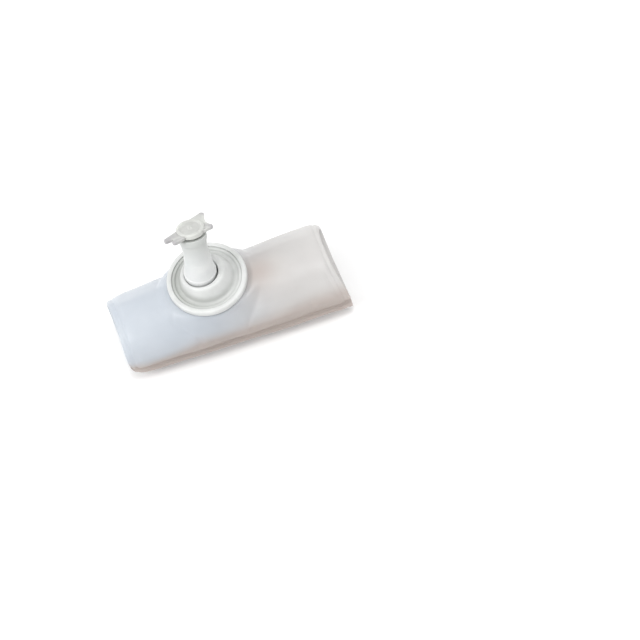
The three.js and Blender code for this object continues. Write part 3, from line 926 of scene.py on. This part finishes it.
def bump(nodes, links, source, depth, strength, normal=None):
    made = nodes.new("ShaderNodeBump")
    made.inputs["Distance"].default_value = depth
    made.inputs["Strength"].default_value = strength
    links.new(source, made.inputs["Height"])
    if normal:
        links.new(normal, made.inputs["Normal"])
    return made.outputs["Normal"]


def spread(nodes, links, source, low, high):
    """A 0 to 1 value spread between two others."""
    made = nodes.new("ShaderNodeMapRange")
    made.inputs["To Min"].default_value = low
    made.inputs["To Max"].default_value = high
    links.new(source, made.inputs["Value"])
    return made.outputs["Result"]


def mixed(nodes, links, factor, first, second):
    """Two colours mixed by a factor. The second may be a plain colour."""
    made = nodes.new("ShaderNodeMix")
    made.data_type = "RGBA"
    links.new(factor, made.inputs["Factor"])
    links.new(first, made.inputs[6])
    if isinstance(second, tuple):
        made.inputs[7].default_value = (*second, 1)
    else:
        links.new(second, made.inputs[7])
    return made.outputs[2]


def point_value(nodes, name):
    made = nodes.new("ShaderNodeAttribute")
    made.attribute_name = name
    return made.outputs["Fac"]


def add_relief(nodes, links, shader, detail):
    """Bumps the shader with soft waves and a fine grain, and gives the waves back."""
    wave = noise(nodes, links, detail["wave"], WAVE_LEVELS)
    grain = noise(nodes, links, detail["grain"], GRAIN_LEVELS)
    waved = bump(nodes, links, wave, detail["wave_depth"], detail["wave_strength"])
    grained = bump(nodes, links, grain, detail["grain_depth"], detail["grain_strength"], waved)
    links.new(grained, shader.inputs["Normal"])
    return wave


def film_material():
    """Milky see-through film, cool or warm, and a browner tone where shade and shadow are painted."""
    material, nodes, links, shader = new_material("milky_film")
    cloud = noise(nodes, links, FILM_DETAIL["cloud"], CLOUD_LEVELS)
    cool = ramp(nodes, links, cloud, FILM_DETAIL["cloud_span"], FILM_COOL)
    warm = ramp(nodes, links, cloud, FILM_DETAIL["cloud_span"], FILM_WARM)
    tone = mixed(nodes, links, point_value(nodes, WARM), cool, warm)
    tone = mixed(nodes, links, point_value(nodes, PAINTED_SHADE), tone, FILM_PAINTED_SHADE)
    links.new(tone, shader.inputs["Base Color"])
    links.new(spread(nodes, links, cloud, *FILM_ALPHA), shader.inputs["Alpha"])
    wave = add_relief(nodes, links, shader, FILM_DETAIL)
    links.new(spread(nodes, links, wave, *FILM_ROUGHNESS), shader.inputs["Roughness"])
    shader.inputs["IOR"].default_value = IOR
    return material


def soft_material(name, tones, roughness):
    """Milky soft plastic, cloudy between two tones, and a darker tone where shade is painted."""
    material, nodes, links, shader = new_material(name)
    cloud = noise(nodes, links, SOFT_DETAIL["cloud"], CLOUD_LEVELS)
    colour = ramp(nodes, links, cloud, SOFT_DETAIL["cloud_span"], tones)
    links.new(mixed(nodes, links, point_value(nodes, PAINTED_SHADE), colour, tones["painted_shade"]), shader.inputs["Base Color"])
    add_relief(nodes, links, shader, SOFT_DETAIL)
    low, high = (roughness + change for change in ROUGHNESS_SPREAD)
    links.new(spread(nodes, links, cloud, low, high), shader.inputs["Roughness"])
    shader.inputs["Subsurface Weight"].default_value = SUBSURFACE
    shader.inputs["Subsurface Radius"].default_value = SUBSURFACE_RADIUS
    shader.inputs["Subsurface Scale"].default_value = 1
    shader.inputs["IOR"].default_value = IOR
    return material


# Studio


def make_floor():
    material, nodes, links, shader = new_material("floor_white")
    shader.inputs["Base Color"].default_value = FLOOR_TONE
    shader.inputs["Roughness"].default_value = FLOOR_ROUGHNESS
    bpy.ops.mesh.primitive_plane_add(size=FLOOR_SIZE, location=(0, 0, -FLOOR_DROP))
    floor = bpy.context.active_object
    floor.name = "floor"
    floor.data.materials.append(material)


def make_light(row):
    light = bpy.data.lights.new(row["name"], "AREA")
    light.size = row["size"]
    light.energy = row["power"]
    lamp = bpy.data.objects.new(row["name"], light)
    lamp.location = row["place"]
    lamp.rotation_euler = (Vector(row["place"]) - Vector(LIGHT_AIM)).to_track_quat("Z", "Y").to_euler()
    bpy.context.scene.collection.objects.link(lamp)


def make_studio():
    make_floor()
    for row in LIGHTS:
        make_light(row)
    world = bpy.data.worlds.new("studio")
    world.use_nodes = True
    sky = world.node_tree.nodes["Background"]
    sky.inputs["Color"].default_value = (1, 1, 1, 1)
    sky.inputs["Strength"].default_value = SKY_STRENGTH
    bpy.context.scene.world = world
    bpy.context.scene.view_settings.view_transform = "Standard"


def make_camera():
    """The camera stands off along the view's direction and turns so that the target is at its pixel."""
    sin_e, cos_e = math.sin(CAMERA_ELEVATION), math.cos(CAMERA_ELEVATION)
    sin_t, cos_t = math.sin(CAMERA_TURN), math.cos(CAMERA_TURN)
    back = Vector((sin_t * cos_e, -cos_t * cos_e, sin_e))
    right = Vector((cos_t, sin_t, 0))
    up = back.cross(right)
    image_x = right * math.cos(CAMERA_ROLL) - up * math.sin(CAMERA_ROLL)
    image_y = right * math.sin(CAMERA_ROLL) + up * math.cos(CAMERA_ROLL)
    place = Vector(TARGET) + back * CAMERA_DISTANCE
    centre = IMAGE_PIXELS / 2
    across = (centre - TARGET_PIXEL[0]) / PIXELS_PER_MM
    upward = (TARGET_PIXEL[1] - centre) / PIXELS_PER_MM
    aim = Vector(TARGET) + image_x * across + image_y * upward
    axis_z = (place - aim).normalized()
    axis_x = image_y.cross(axis_z).normalized()
    axis_y = axis_z.cross(axis_x)
    data = bpy.data.cameras.new("photo_camera")
    data.sensor_width = SENSOR
    data.lens = PIXELS_PER_MM * CAMERA_DISTANCE / IMAGE_PIXELS * SENSOR
    data.clip_start = CAMERA_CLIP
    camera = bpy.data.objects.new("photo_camera", data)
    turn = Matrix((axis_x, axis_y, axis_z)).transposed().to_4x4()
    camera.matrix_world = Matrix.Translation(place * MM) @ turn
    bpy.context.scene.collection.objects.link(camera)
    bpy.context.scene.camera = camera


film = film_material()
make_sleeve(film)
make_seam_fin(film)
make_flange(soft_material("soft_flange", FLANGE_TONES, FLANGE_ROUGHNESS))
make_stem(soft_material("stem_plastic", STEM_TONES, STEM_ROUGHNESS))
make_cap(soft_material("cap_plastic", CAP_TONES, CAP_ROUGHNESS))
make_studio()
make_camera()
